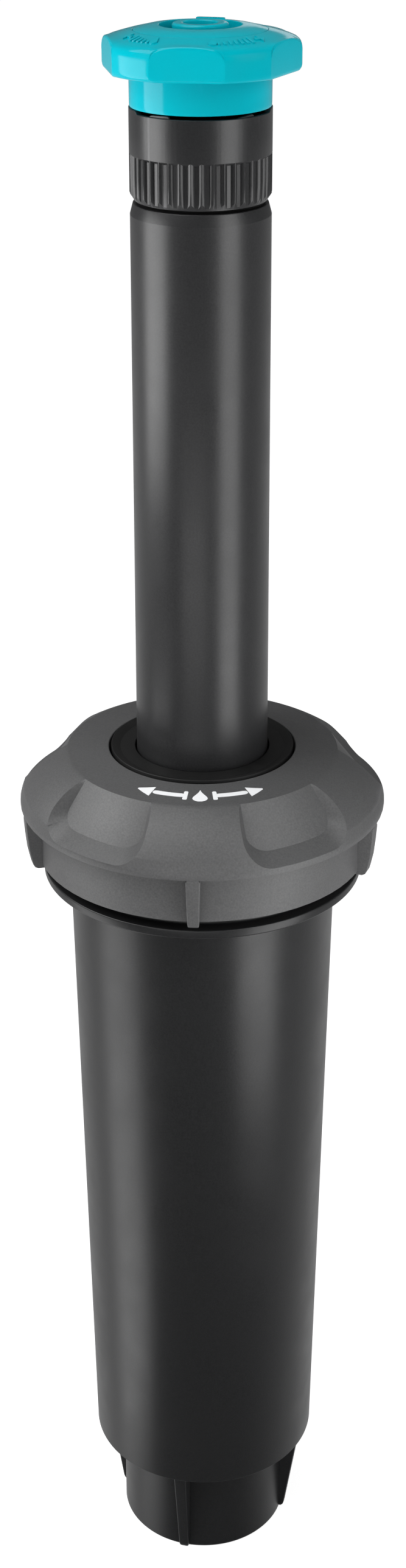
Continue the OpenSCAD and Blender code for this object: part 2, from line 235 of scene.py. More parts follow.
def blend_colour(tree, fac, dark, light):
    """Mix of two colours, each a tuple or an output, by the output fac."""
    node = tree.nodes.new("ShaderNodeMix")
    node.data_type = "RGBA"
    tree.links.new(fac, node.inputs[0])
    for socket, value in ((node.inputs[6], dark), (node.inputs[7], light)):
        if isinstance(value, tuple):
            socket.default_value = (*value, 1)
        else:
            tree.links.new(value, socket)
    return node.outputs[2]


def bump(tree, shader, height, strength, depth):
    node = tree.nodes.new("ShaderNodeBump")
    node.inputs["Strength"].default_value = strength
    node.inputs["Distance"].default_value = depth
    tree.links.new(height, node.inputs["Height"])
    tree.links.new(node.outputs["Normal"], shader.inputs["Normal"])


def plastic(name, colour, rough, worn_highlit_colour, grain=0.12, mottle=0.1, wear_and_highlight=0.25, level=0.5):
    """Moulded plastic or rubber with a fine grain, a cloudy tone, and paler edges that are partly wear
    and partly a painted highlight along crisp edges.
    """
    material, tree, shader = new_material(name)
    coords = tree.nodes.new("ShaderNodeTexCoord").outputs["Object"]
    grain_mm = 0.28
    fine = noise_node(tree, coords, 1000 / grain_mm, 2.0, 0.6)
    cloud = noise_node(tree, coords, PLASTIC_CLOUD, 3.0, 0.55)
    dark = tuple(c * (1 - mottle) for c in colour)
    light = tuple(min(1, c * (1 + mottle)) for c in colour)
    base = blend_colour(tree, ramp(tree, fine, 0.3, 0.7, 0, 1), dark, light)
    base = blend_colour(tree, ramp(tree, cloud, 0.35, 0.65, 0, 0.35), base,
                        tuple(c * 0.92 for c in colour))
    # Paler colour on pointy edges: partly wear, partly a painted highlight that stands in for light
    # caught by crisp edges.
    edge = tree.nodes.new("ShaderNodeNewGeometry").outputs["Pointiness"]
    wear_highlight_mask = tree.nodes.new("ShaderNodeMath")
    wear_highlight_mask.operation = "MULTIPLY"
    tree.links.new(ramp(tree, edge, WORN_HIGHLIT_LOW, WORN_HIGHLIT_HIGH, 0, wear_and_highlight), wear_highlight_mask.inputs[0])
    tree.links.new(ramp(tree, cloud, 0.3, 0.7, 0.3, 1.0), wear_highlight_mask.inputs[1])
    base = blend_colour(tree, wear_highlight_mask.outputs[0], base, worn_highlit_colour)
    tree.links.new(base, shader.inputs["Base Color"])
    tree.links.new(ramp(tree, cloud, 0.3, 0.7, rough - 0.03, rough + 0.03), shader.inputs["Roughness"])
    bump(tree, shader, fine, grain, GRAIN_DEPTH_M)
    shader.inputs["Specular IOR Level"].default_value = level
    return material


def metal(name, colour, rough, grain_mm=0.1):
    """Drawn or stamped metal with fine lines round the axis."""
    material, tree, shader = new_material(name)
    coords = tree.nodes.new("ShaderNodeTexCoord").outputs["Object"]
    stretch = tree.nodes.new("ShaderNodeMapping")
    stretch.inputs["Scale"].default_value = (0.15, 0.15, 1.0)
    tree.links.new(coords, stretch.inputs["Vector"])
    lines = noise_node(tree, stretch.outputs["Vector"], 1000 / grain_mm, 3.0, 0.6)
    cloud = noise_node(tree, coords, METAL_CLOUD, 3.0, 0.6)
    dark = tuple(c * 0.8 for c in colour)
    base = blend_colour(tree, ramp(tree, cloud, 0.3, 0.7, 0, 1), dark, colour)
    tree.links.new(base, shader.inputs["Base Color"])
    tree.links.new(ramp(tree, lines, 0.3, 0.7, rough - 0.06, rough + 0.08), shader.inputs["Roughness"])
    bump(tree, shader, lines, 0.1, LINE_DEPTH_M)
    shader.inputs["Metallic"].default_value = 1.0
    return material


BLACK = plastic("black_grain", (0.014, 0.0142, 0.0148), 0.34, (0.05, 0.05, 0.052),
                mottle=0.25, level=0.45)
RISER = plastic("riser_grain", (0.019, 0.0192, 0.02), 0.34, (0.06, 0.06, 0.062), mottle=0.25)
# The collar's strong pale edges are mostly a painted highlight along its flute crests.
COLLAR = plastic("collar_grain", (0.017, 0.0172, 0.018), 0.32, (0.12, 0.12, 0.125),
                 mottle=0.25, wear_and_highlight=0.5)
GREY = plastic("grey_grain", (0.071, 0.071, 0.072), 0.5, (0.14, 0.14, 0.145),
               grain=0.25, mottle=0.2, wear_and_highlight=0.3)
TEAL = plastic("teal_satin", (0.0, 0.395, 0.48), 0.12, (0.01, 0.5, 0.6),
               grain=0.03, mottle=0.02, wear_and_highlight=0.3, level=0.2)
RUBBER = plastic("rubber_matt", (0.006, 0.006, 0.006), 0.55, (0.02, 0.02, 0.02),
                 grain=0.08, mottle=0.2, level=0.3)
ACETAL = plastic("acetal_white", (0.7, 0.7, 0.67), 0.35, (0.85, 0.85, 0.83), grain=0.05, mottle=0.03)
MARK = plastic("mark_white", (0.82, 0.83, 0.84), 0.5, (0.9, 0.9, 0.9), grain=0.05, mottle=0.02)
STEEL = metal("spring_steel", (0.62, 0.62, 0.61), 0.28)
MESH_STEEL = metal("screen_steel", (0.55, 0.55, 0.54), 0.35, 0.3)


# ----------------------------------------------------------------- housing

# Up the outside from the inlet's rim, over the flange and the neck, and down the inside.
HOUSING = [
    (11.2, 0.0, 0.15), (13.85, 0.0, 0.2), (14.15, 0.4, 0.3), (14.15, 18.4, 0.35), (18.9, 18.4, 0.16),
    (21.42, 127.6, 1.2), (22.2, 128.35, 0.5), (25.4, 128.4, 0.2), (25.65, 128.65, 0.2),
    (25.65, 129.9, 0.2), (23.4, 129.9, 0.4), (23.4, 141.15, 0.1), (22.9, 141.15), (22.9, 142.85),
    (23.4, 142.85, 0.1), (23.4, 143.6, 0.2), (22.9, 144.1, 0.2), (20.0, 144.1, 0.2),
    (20.0, 130.9, 0.4), (19.45, 125.9, 0.4), (16.9, 20.4, 0.6), (7.0, 20.4, 0.3), (7.0, 16.0, 0.3),
    (10.45, 16.0, 0.2), (10.45, 1.2, 0.3),
]
# Sections of the two threads: the radius, and the height over the middle of the ridge.
PIPE_THREAD = [(10.6, -0.8), (10.5, -0.78), (9.45, -0.12), (9.38, 0.0), (9.45, 0.12), (10.5, 0.78),
               (10.6, 0.8)]
CAP_THREAD = [(23.2, -0.95), (23.4, -0.9), (24.35, -0.35), (24.45, -0.2), (24.45, 0.2),
              (24.35, 0.35), (23.4, 0.9), (23.2, 0.95)]
PIPE_PITCH = 1.814  # 14 turns to the inch
CAP_PITCH = 3.0
RIBS = 4


def housing():
    shape = Shape()
    shape.lathe(rounded(HOUSING), 240)
    helix(shape, PIPE_THREAD, 1.9, PIPE_PITCH, 7.0, 10.6)
    helix(shape, CAP_THREAD, 132.4, CAP_PITCH, 2.6, 23.2)
    for k in range(RIBS):
        inlet_rib(shape, -14 + 360 // RIBS * k)
        upright(shape, 45 + 360 // RIBS * k)
    return make("housing_shell", shape, "casing", BLACK, ["housing"])


def plate(shape, stations, phi):
    """An upright plate that stands out along phi: (z, inner r, outer r, half width, edge radius)."""
    a = math.radians(phi)
    out = Vector((math.sin(a), -math.cos(a), 0))
    side = Vector((math.cos(a), math.sin(a), 0))
    sections = []
    for z, low_r, high_r, half, edge in stations:
        loop = rounded([(low_r, -half), (high_r, -half, edge), (high_r, half, edge), (low_r, half)])
        sections.append([(out * r + side * w + Vector((0, 0, z))) * MM for r, w in loop])
    shape.loft(sections)


def inlet_rib(shape, phi):
    """Rib outside the inlet, with a rounded foot and a slanted outer edge."""
    root_r = 13.5
    stations = [(0.12, root_r, 14.3, 0.55, 0.2), (0.25, root_r, 14.55, 0.7, 0.25),
                (0.55, root_r, 14.8, 0.8, 0.28), (1.0, root_r, 14.95, 0.84, 0.28)]
    stations += [(mix(1.4, 18.55, t), root_r, mix(15.0, 17.72, t), mix(0.85, 1.04, t), 0.25)
                 for t in (0, 0.25, 0.5, 0.75, 1)]
    plate(shape, stations, phi)


def upright(shape, phi):
    """Rail inside the housing that keeps the guide ring from turning."""
    half, edge = 0.8, 0.1
    outer = ((20.2, 15.6, 17.3), (125.9, 15.6, 19.9), (130.9, 15.6, 20.5), (134, 15.6, 20.5),
             (137.0, 19.9, 20.5))
    plate(shape, [(*station, half, edge) for station in outer], phi)


# --------------------------------------------------------------------- cap

PETALS = 5
PETAL_PITCH = 360 / PETALS
PETAL_TURN = -2.9
# Where the flat ring breaks into the petals, and the crisp edge that a petal ends in.
BREAK = (21.6, 149.0)
PETAL_EDGE = (28.62, 142.97)
PETAL_BEND = 17
PETAL_STEPS = 24
RIM_BAND = [(28.73, 142.55), (28.86, 142.2), (28.98, 141.88), (29.08, 141.55), (29.15, 141.25),
            (29.19, 141.0)]
# Fall of a recess's floor for each mm outward.
FLOOR_FALL = 1.334
# Points along each side, round each corner and along the foot of the outlines round a recess.
SIDE_STEPS, CORNER_STEPS, FOOT_STEPS = 12, 12, 14
# The inner edge that the top and the inside of the cap share.
SEAM = (14.85, 146.4)
TOP_RING = [SEAM, (14.85, 149.35), (14.87, 149.47), (14.93, 149.56), (15.03, 149.6), (15.2, 149.59),
            (17.2, 149.41), (19.4, 149.2), (21.2, 149.04), BREAK]
# The rim's band and rounded lower edge, the skirt inside it, and the inside of the cap.
RIM_AND_INSIDE = [
    (29.19, 141.0), (29.19, 140.4), (29.16, 140.29), (29.06, 140.24), (26.95, 140.24), (26.7, 140.2),
    (26.6, 140.0), (26.6, 132.15), (26.55, 132.0), (26.4, 131.95), (25.1, 131.95), (24.95, 132.0),
    (24.9, 132.15), (24.9, 143.5), (23.0, 145.4), (19.0, 145.4), (19.0, 146.4), SEAM,
]
# A grip rib from its foot up: height, outer radius and half width.
GRIP = [(131.32, 26.9, 0.55), (131.42, 27.35, 0.72), (131.7, 27.8, 0.84), (132.2, 28.08, 0.9),
        (133.1, 28.3, 0.94), (134.9, 28.68, 0.98), (137.5, 28.95, 1.04), (139.6, 29.1, 1.1),
        (139.93, 29.1, 1.1), (140.12, 29.1, 0.92), (140.5, 29.1, 0.92)]


def petal_profile():
    """From the break edge over the bulging petal to its crisp edge, and down the rim's band."""
    a, b = Vector(BREAK), Vector(PETAL_EDGE)
    half = math.radians(PETAL_BEND)
    way = (b - a).normalized()
    side = Vector((-way.y, way.x))
    bend = (b - a).length / 2 / math.sin(half)
    centre = (a + b) / 2 - side * bend * math.cos(half)
    points = []
    for i in range(PETAL_STEPS + 1):
        t = half * (2 * i / PETAL_STEPS - 1)
        p = centre + bend * (side * math.cos(t) + way * math.sin(t))
        points.append((p.x, p.y))
    return points + RIM_BAND


PETAL = petal_profile()


def u_path(top_half, half, top_s, corner_s, foot_s, corner_half):
    """A U from the top left, down, round the foot and up again, as (angle, s) points. Its sides
    run from top_half at top_s to half at corner_s, where the corners start."""
    left = []
    for i in range(SIDE_STEPS):
        t = i / SIDE_STEPS
        left.append((-mix(top_half, half, min(1, 1.6 * t) ** 0.6), mix(top_s, corner_s, t)))
    for i in range(CORNER_STEPS):
        a = math.pi / 2 * i / CORNER_STEPS
        left.append((-(corner_half + (half - corner_half) * math.cos(a)),
                     corner_s + (foot_s - corner_s) * math.sin(a)))
    flat = [(mix(-corner_half, corner_half, i / FOOT_STEPS), foot_s) for i in range(FOOT_STEPS + 1)]
    return left + flat + [(-x, s) for x, s in reversed(left)]


def recess_outlines():
    """Three outlines round a recess: where its floor ends, where its walls reach the petals, and
    the border of its fifth of the cap. s is the radius in the first, and the share of the petal's
    profile in the others."""
    floor_u = u_path(17.5, 17.6, BREAK[0], 24.5, 26.2, 9.7)
    outer_u = u_path(17.9, 19.9, 0.0, share_at(PETAL, 26.6), share_at(PETAL, 29.13), 11.0)
    # Each side gets two more points, close above and below the petal's crisp edge.
    crisp_s = share_at(PETAL, PETAL_EDGE[0])
    above, below = crisp_s - 0.004, crisp_s + 0.004
    turn_i = next(i for i, (x, s) in enumerate(outer_u) if s > crisp_s)
    high, low = outer_u[turn_i - 1], outer_u[turn_i]
    x = mix(high[0], low[0], (crisp_s - high[1]) / (low[1] - high[1]))
    on_floor = [tuple(mix(p, q, t) for p, q in zip(floor_u[turn_i - 1], floor_u[turn_i]))
                for t in (0.33, 0.67)]
    for path, added in ((outer_u, [(x, above), (x, below)]), (floor_u, on_floor)):
        end = len(path) - turn_i
        path[end:end] = [(-a, b) for a, b in reversed(added)]
        path[turn_i:turn_i] = added
    # The border's sides run straight down to the rim, with as many points.
    left = SIDE_STEPS + CORNER_STEPS + 2 - turn_i - 1
    steps = [above * i / turn_i for i in range(turn_i + 1)]
    steps += [mix(below, 1, i / left) for i in range(left)]
    half = PETAL_PITCH / 2
    foot = [(mix(-half, half, i / FOOT_STEPS), 1.0) for i in range(FOOT_STEPS + 1)]
    border = [(-half, s) for s in steps] + foot + [(half, s) for s in reversed(steps)]
    return floor_u, outer_u, border, [x for x, s in foot]


def recess_loops(floor_u, outer_u, border):
    """(angle, radius, height) loops from the top of a recess's floor out to its border."""
    def on_floor(x, r):
        return (x, r, BREAK[1] - FLOOR_FALL * (r - BREAK[0]))

    def on_petal(x, s):
        return (x, *along(PETAL, s))

    floor_edge = [on_floor(x, r) for x, r in floor_u]
    outer_edge = [on_petal(x, s) for x, s in outer_u]
    loops = [[on_floor(x * t, mix(BREAK[0], r, mix(0.55, 1, t))) for x, r in floor_u]
             for t in (0.0, 0.25, 0.5, 0.75, 0.93, 0.985)]
    loops.append(floor_edge)
    loops += [[tuple(mix(a, b, t) for a, b in zip(p, q)) for p, q in zip(floor_edge, outer_edge)]
              for t in (0.03, 0.3, 0.65, 0.93)]
    loops.append(outer_edge)
    loops += [[on_petal(mix(a[0], b[0], t), mix(a[1], b[1], t)) for a, b in zip(outer_u, border)]
              for t in (0.02, 0.06, 0.2, 0.4, 0.6, 0.8, 1.0)]
    return loops


def screw_cap():
    """Cap in one shell: five recesses between petals, the flat ring over them, and the rim and
    inside. The two rings take every angle that the recesses' borders have, so nothing gapes."""
    floor_u, outer_u, border, foot_x = recess_outlines()
    loops = recess_loops(floor_u, outer_u, border)
    shape = Shape()
    top_angles, foot_angles = [], []
    for k in range(PETALS):
        centre = PETAL_TURN + PETAL_PITCH / 2 + PETAL_PITCH * k
        rows = [[at(r, z, centre + x) for x, r, z in loop] for loop in loops]
        shape.rows(rows, close_rows=False, close_cols=False)
        top_angles += [centre + loop[i][0] for loop in loops for i in (0, -1)]
        foot_angles += [centre + x for x in foot_x]
    top_angles, foot_angles = in_order(top_angles), in_order(foot_angles)
    for outline, angles in ((TOP_RING, top_angles), (RIM_AND_INSIDE, foot_angles)):
        shape.rows([[at(r, z, a) for r, z in outline] for a in angles], close_cols=False)
    zip_ring(shape, top_angles, foot_angles, *SEAM)
    for k in range(PETALS):
        plate(shape, [(z, 26.2, r, half, 0.16) for z, r, half in GRIP], PETAL_TURN + PETAL_PITCH * k)
    return make("cap_moulding", shape, "cap", GREY, ["screw_cap"], sharp=24)


def in_order(angles):
    """The angles in rising order from 0 to 360, each once."""
    return sorted({round(a % 360, 4) for a in angles})


def zip_ring(shape, top_angles, foot_angles, r, z):
    """Faces between two sets of points on one circle, so that shells with different steps join."""
    low = len(shape.verts)
    shape.verts.extend(at(r, z, a) for a in top_angles)
    mid = len(shape.verts)
    shape.verts.extend(at(r, z, a) for a in foot_angles)
    n, m = len(top_angles), len(foot_angles)
    i = j = 0
    while i < n or j < m:
        a = top_angles[i + 1] if i + 1 < n else top_angles[(i + 1) % n] + 360
        b = foot_angles[j + 1] if j + 1 < m else foot_angles[(j + 1) % m] + 360
        if j >= m or (i < n and a <= b):
            shape.faces.append((low + i % n, low + (i + 1) % n, mid + j % m))
            i += 1
        else:
            shape.faces.append((low + i % n, mid + (j + 1) % m, mid + j % m))
            j += 1


# ------------------------------------------------------------ seal, spring

def wiper_seal():
    shape = Shape()
    shape.lathe(rounded([
        (10.5, 146.2, 0.1), (10.5, 148.8), (10.7, 149.65, 0.12), (13.07, 149.5, 0.06),
        (14.5, 150.0, 0.12), (14.5, 145.35, 0.1), (22.9, 145.35, 0.2), (22.9, 144.1, 0.2),
        (13.4, 144.1, 0.2), (12.8, 147.8, 0.5), (11.4, 147.8, 0.2), (11.1, 146.2, 0.1),
    ]), 200)
    return make("wiper_lip_seal", shape, "seal_pack", RUBBER, ["wiper_seal"])


def return_spring():
    """Round wire wound between the guide ring and the spring seat, with a flat turn at each end."""
    turns, steps, sides, coil_r, wire_r = 9, 48, 12, 13.4, 0.45
    low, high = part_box("return_spring")
    low_z, high_z = low.z / MM + wire_r + 0.02, high.z / MM - wire_r - 0.02
    flat = 0.6  # of a turn
    count = turns * steps
    rings = []
    for i in range(count + 1):
        share = min(max((i / count * turns - flat) / (turns - 2 * flat), 0), 1)
        z = mix(low_z, high_z, share)
        angles = [TAU * j / sides for j in range(sides)]
        rings.append([at(coil_r + wire_r * math.cos(a), z + wire_r * math.sin(a), 360 * i / steps)
                      for a in angles])
    shape = Shape()
    shape.loft(rings)
    piece = make("return_coil", shape, None, STEEL, ["return_spring"])
    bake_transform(piece)
    return piece


# ------------------------------------------------------------------- riser

FOOT_Z = 125.7
FOOT_H = 2.3
CLICKS = 36
# One tooth of the foot: share of the pitch, and how far the edge is cut back.
TOOTH = ((0, 0), (0.55, 0), (0.78, 0.6))


def riser():
    """Riser tube on a notched foot."""
    shape = Shape()
    low, high = FOOT_Z, FOOT_Z + FOOT_H
    outer = [(14.8 - cut, 360 / CLICKS * (i + part)) for i in range(CLICKS) for part, cut in TOOTH]
    inner = [(8.5, phi) for r, phi in outer]
    shape.rows([[at(r, z, phi) for r, phi in loop]
                for loop, z in ((outer, low), (outer, high), (inner, high), (inner, low))])
    shape.lathe(rounded([
        (8.4, FOOT_Z, 0.1), (10.4, FOOT_Z, 0.1), (10.4, 235.0, 0.08), (9.95, 236.7, 0.15),
        (8.9, 236.7, 0.1), (8.9, 242.5, 0.2), (6.9, 242.5, 0.2), (6.9, 235.2, 0.3), (8.4, 233.7, 0.3),
    ]), 200)
    return make("riser_pipe", shape, "riser", RISER, ["riser_tube"])


FLUTES = 40
FLUTE_TURN = 1
FLUTE_DEPTH = 0.41
# One flute from crest to crest: (angle, share of the depth). Its floor is flat between two slanted
# walls.
FLUTE = [(0.22, 0.0), (0.8, 0.14), (1.4, 0.3), (1.98, 0.49), (2.42, 0.69), (2.75, 0.88), (2.92, 1.0),
         (6.08, 1.0), (6.25, 0.88), (6.58, 0.69), (7.02, 0.49), (7.6, 0.3), (8.2, 0.14), (8.78, 0.0)]
COLLAR_R = 10.43
COLLAR_TOP = 250.57
COLLAR_SLANT = 0.64
# The spray slot: its first and last angle, its depth, and the angle that each end takes to sink.
SLOT = (-64.0, 74.0)
SLOT_H = 0.44
SLOT_EASE = 3
# Ramps in the slot: first and last angle, and how far each end lies under the top.
SLOT_RAMPS = ((-46, -26.5, 0.16, 0.0), (30, 48, 0.4, 0.0))


def collar_section(depth, opened):
    """Outline of the collar where a flute is depth deep and the slot is open by a share."""
    top = COLLAR_TOP - SLOT_H * opened ** 0.5
    full = COLLAR_R - depth
    foot_z = 238.2 - depth / COLLAR_SLANT
    return [
        (9.1, 237.3), (9.2, 237.2), (COLLAR_R - COLLAR_SLANT + 0.02, 237.2),
        (COLLAR_R - COLLAR_SLANT * 0.94, 237.27), (full - 0.015, foot_z - 0.03), (full, foot_z + 0.03),
        (full, 240.5), (full, 243.6), (full, 243.97 - depth * 0.9), (COLLAR_R - 0.01, 243.98),
        (COLLAR_R, 244.04), (COLLAR_R, 247.0), (COLLAR_R, top - 0.08), (COLLAR_R - 0.05, top - 0.015),
        (COLLAR_R - 0.13, top), (COLLAR_R - 0.3, top), (mix(9.35, 9.8, opened), top - 0.03),
        (mix(9.25, 9.5, opened), top - mix(0.1, 0.7, opened)),
        (9.2, 245.9), (5.9, 245.9), (4.0, 245.9), (4.0, 244.1), (9.1, 244.1),
    ]


def nozzle_collar():
    """Collar with flutes between sharp crests, the spray slot in its rim, and a web inside."""
    rings = []
    for k in range(FLUTES):
        for a, share in FLUTE:
            phi = FLUTE_TURN + 360 / FLUTES * k + a
            x = (phi + 180) % 360 - 180
            inside = ((x - SLOT[0]) / SLOT_EASE, (SLOT[1] - x) / SLOT_EASE)
            opened = math.prod(min(max(v, 0), 1) for v in inside)
            rings.append([at(r, z, phi) for r, z in collar_section(FLUTE_DEPTH * share, opened)])
    shape = Shape()
    shape.rows(rings)
    for slot_end in SLOT_RAMPS:
        slot_ramp(shape, *slot_end)
    return make("fluted_collar", shape, "riser", COLLAR, ["nozzle_collar"], sharp=24)


def slot_ramp(shape, start, stop, low_start, low_stop):
    """Ramp in the slot, just behind the rim, that narrows the spray towards its ends."""
    sections = []
    steps = 14
    for i in range(steps + 1):
        t = i / steps
        round_end = min(1, 8 * t, 8 * (1 - t)) ** 0.5
        top = 250.5 - mix(low_start, low_stop, t) - 0.2 * (1 - round_end)
        outline = ((9.7, 249.6), (10.12, 249.6), (10.12, top - 0.03), (10.09, top), (9.7, top))
        sections.append([at(r, z, mix(start, stop, t)) for r, z in outline])
    shape.loft(sections)


# -------------------------------------------------------------------- head

HEAD_FLATS = 5
HEAD_PITCH = 360 // HEAD_FLATS
HEAD_TURN = -8.1
FLAT_HALF = 21.6
HEAD_R = 14.58
FLAT_D = HEAD_R * math.cos(math.radians(FLAT_HALF))
# Domed top of the head, its rounded shoulder, and its rounded foot over the flat underside.
DOME = [(9.8, 261.41), (10.3, 261.3), (11.5, 260.98), (12.7, 260.63), (13.3, 260.44)]
SHOULDER = [(13.6, 260.33), (13.85, 260.22), (14.08, 260.07), (14.27, 259.87), (14.41, 259.62),
            (14.5, 259.35), (14.55, 259.05), (14.58, 258.7)]
FOOT = [(14.58, 256.65), (14.56, 256.4), (14.49, 256.15), (14.36, 255.94), (14.18, 255.79),
        (13.96, 255.7), (13.75, 255.67), (13.6, 255.67)]
UNDERSIDE_Z = FOOT[-1][1]
# The underside, the skirt, and the inside up to the centre disc.
SKIRT_AND_INSIDE = [
    (12.2, UNDERSIDE_Z), (11.0, UNDERSIDE_Z), (10.4, UNDERSIDE_Z), (10.36, UNDERSIDE_Z - 0.04),
    (10.36, 254.6), (10.35, 253.0), (10.34, 251.2), (10.33, 250.82), (10.29, 250.7), (10.2, 250.65),
    (8.7, 250.65), (8.6, 250.75), (8.6, 255.3), (6.0, 255.3), (6.0, 251.6), (4.1, 251.6), (4.1, 256.2),
    (8.55, 256.2), (8.55, 258.35), (9.75, 258.35),
]
# The dome rises towards the middle of each flat, from LIFT_R outward.
LIFT, LIFT_R = 0.3, 11.8
# Shares of the way out over the dome that have a point, closer together towards its edge.
DOME_SHARES = (0, 0.12, 0.3, 0.48, 0.62, 0.72, 0.79, 0.84, 0.88, 0.915, 0.935, 0.955, 0.97, 0.985)
# Angles of the head's outlines on either side of a flat's middle, and of a lobe's middle.
FLAT_STEPS = (2, 5, 8.5, 11.5, 14, 16, 17.5, 18.8, 19.8, 20.5, 21, 21.35, 21.6)
LOBE_STEPS = (2.5, 5, 8, 11, 12.8, 13.7, 14.2)
TAB_TURN = -12.8


def dome_z(r):
    for p, q in zip(DOME, DOME[1:]):
        if r <= q[0]:
            return mix(p[1], q[1], (r - p[0]) / (q[0] - p[0]))
    return DOME[-1][1]


def head_profile(x):
    """Outline of the head at x degrees from the middle of a flat: dome, edge, wall, foot, skirt
    and inside. On a lobe the dome runs into the rounded shoulder, and on a flat it ends in a
    crisp edge with a small fillet."""
    top = DOME + SHOULDER
    flat = abs(x) < FLAT_HALF
    wall_r = FLAT_D / math.cos(math.radians(x)) if flat else HEAD_R
    inset = max(HEAD_R - wall_r, 0)
    crisp = min(1, inset / 0.15)
    lift = LIFT * (1 - (abs(x) / FLAT_HALF) ** 3) if flat else 0.0
    end = share_at(top, wall_r)
    loop = [(9.75, 261.37)]
    for s in DOME_SHARES:
        r, z = along(top, end * mix(s, s * 0.955, crisp))
        loop.append((r, z + lift * max(0, (r - LIFT_R) / (wall_r - LIFT_R)) ** 1.5))
    brow = along(top, end)[1] + lift
    shoulder = [along(top, t) for t in (0.99, 0.995, 1)] + [(HEAD_R, 258.4)]
    fillet = [(wall_r - 0.16, brow - 0.01), (wall_r - 0.06, brow - 0.07),
              (wall_r - 0.01, brow - 0.18), (wall_r, brow - 0.32)]
    loop += [tuple(mix(a, b, crisp) for a, b in zip(p, q)) for p, q in zip(shoulder, fillet)]
    loop.append((wall_r, 257.6))
    tight = 1 - 0.4 * min(1, inset / 0.2)
    loop += [(wall_r - (HEAD_R - r) * tight, UNDERSIDE_Z + (z - UNDERSIDE_Z) * tight)
             for r, z in FOOT]
    return loop + SKIRT_AND_INSIDE


def arc_ring():
    """Head with five flats between its lobes."""
    half = HEAD_PITCH // 2
    phis = []
    for k in range(HEAD_FLATS):
        flat = HEAD_TURN + HEAD_PITCH * k
        phis += [flat + way * x for way in (-1, 1) for x in FLAT_STEPS]
        phis += [flat + half] + [flat + half + way * x for way in (-1, 1) for x in LOBE_STEPS]
    rings = []
    for phi in sorted(phis):
        outline = head_profile((phi - HEAD_TURN + half) % HEAD_PITCH - half)
        rings.append([at(r, z, phi) for r, z in outline])
    shape = Shape()
    shape.rows(rings)
    return make("adjusting_head", shape, "arc_head", TEAL, ["arc_ring"], sharp=40)


def top_disc():
    """Centre disc with a groove round the knob, and a tab behind it, a little to the right."""
    shape = Shape()
    shape.lathe(rounded([
        (4.4, 258.4), (9.7, 258.4), (9.7, 261.42, 0.03), (8.0, 261.83), (5.95, 262.07, 0.12),
        (5.95, 259.4, 0.15), (4.4, 259.4),
    ]), 160)
    half, near, far, edge = 2.13, 6.22, 7.08, 0.2
    mid = (near + far) / 2
    loop = rounded([(-half, near, edge), (half, near, edge), (half, far, edge), (-half, far, edge)])
    turn = Matrix.Rotation(math.radians(TAB_TURN), 3, "Z")
    shape.loft([[tuple(turn @ Vector((x * s, mid + (y - mid) * s, z)) * MM) for x, y in loop]
                for z, s in ((261.35, 1), (262.1, 1), (262.17, 0.97), (262.19, 0.9))])
    return make("centre_disc", shape, "arc_head", TEAL, ["top_disc"])


def throw_knob():
    shape = Shape()
    shape.lathe(rounded([
        (0.0, 258.8), (4.09, 258.8, 0.1), (4.09, 262.35, 0.42), (2.47, 262.35, 0.25),
        (2.47, 259.95, 0.15), (0.0, 259.95),
    ], 5), 120)
    return make("throw_adjuster", shape, "throw", TEAL, ["throw_knob"])


# ------------------------------------------------------------------- marks

def strip(shape, line, surface, height, sunk=0.06):
    """A raised strip on a turned surface, with bevelled top edges. Its line is a list of (angle,
    radius, half width) points, and surface gives the height at a radius."""
    mid_r = sum(p[1] for p in line) / len(line)
    flat = [Vector((math.radians(phi) * mid_r, r)) for phi, r, half in line]
    bevel = min(0.3 * height, 0.04)
    sections = []
    for i, (phi, r, half) in enumerate(line):
        way = flat[min(i + 1, len(line) - 1)] - flat[max(i - 1, 0)]
        side = Vector((-way.y, way.x)).normalized()
        top = max(half - bevel, half * 0.3)
        section = []
        for w, rise in ((half, -sunk), (half, height - bevel), (top, height),
                        (-top, height), (-half, height - bevel), (-half, -sunk)):
            p = flat[i] + side * w
            section.append(at(p.y, surface(p.y) + rise, math.degrees(p.x / mid_r)))
        sections.append(section)
    shape.loft(sections)


def bar(start, stop, r, half, steps=10):
    """Strip along a circle, with rounded ends."""
    cut = min(0.12, half * 4 / r / abs(math.radians(stop - start)))
    shares = [0, cut * 0.3, cut]
    shares += [mix(cut, 1 - cut, i / steps) for i in range(1, steps)]
    shares += [1 - cut, 1 - cut * 0.3, 1]
    widths = [half * 0.4, half * 0.8] + [half] * (steps + 1) + [half * 0.8, half * 0.4]
    return [(mix(start, stop, t), r, w) for t, w in zip(shares, widths)]


def spike(start, stop, r, half):
    """Arrow head that points from start to stop."""
    return [(start, r, half), (mix(start, stop, 0.5), r, half * 0.55), (stop, r, half * 0.1)]


def tick(phi, low_r, high_r, half):
    """Short stroke between two radii."""
    return [(phi, low_r, half * 0.6), (phi, low_r + half * 0.5, half),
            (phi, high_r - half * 0.5, half), (phi, high_r, half * 0.6)]


def droplet(phi, tip_r, foot_r, half):
    """Drop of water with its tip at tip_r and its round end at foot_r."""
    outline = ((0, 0.04), (0.15, 0.18), (0.3, 0.4), (0.45, 0.66), (0.6, 0.9), (0.72, 1), (0.84, 0.9),
               (0.93, 0.66), (1, 0.25))
    return [(phi, mix(tip_r, foot_r, t), half * w) for t, w in outline]


def ring_z(r):
    """Height of the cap's flat ring."""
    return mix(149.59, BREAK[1] + 0.04, (r - 15.2) / 6.0)


def cap_print():
    """Plain printed signs on the cap's flat ring: two arrows that turn away from a droplet."""
    shape = Shape()
    middle, arc_r = -1, 18.5
    lines = [droplet(middle, 16.9, 20.1, 1.15)]
    for way in (-1, 1):
        lines.append(bar(middle + way * 7, middle + way * 23, arc_r, 0.5))
        lines.append(spike(middle + way * 23.4, middle + way * 31, arc_r, 1.35))
        lines.append(tick(middle + way * 7, 17.3, 19.7, 0.34))
    for line in lines:
        strip(shape, line, ring_z, 0.03)
    return make("cap_turn_print", shape, "cap", MARK)


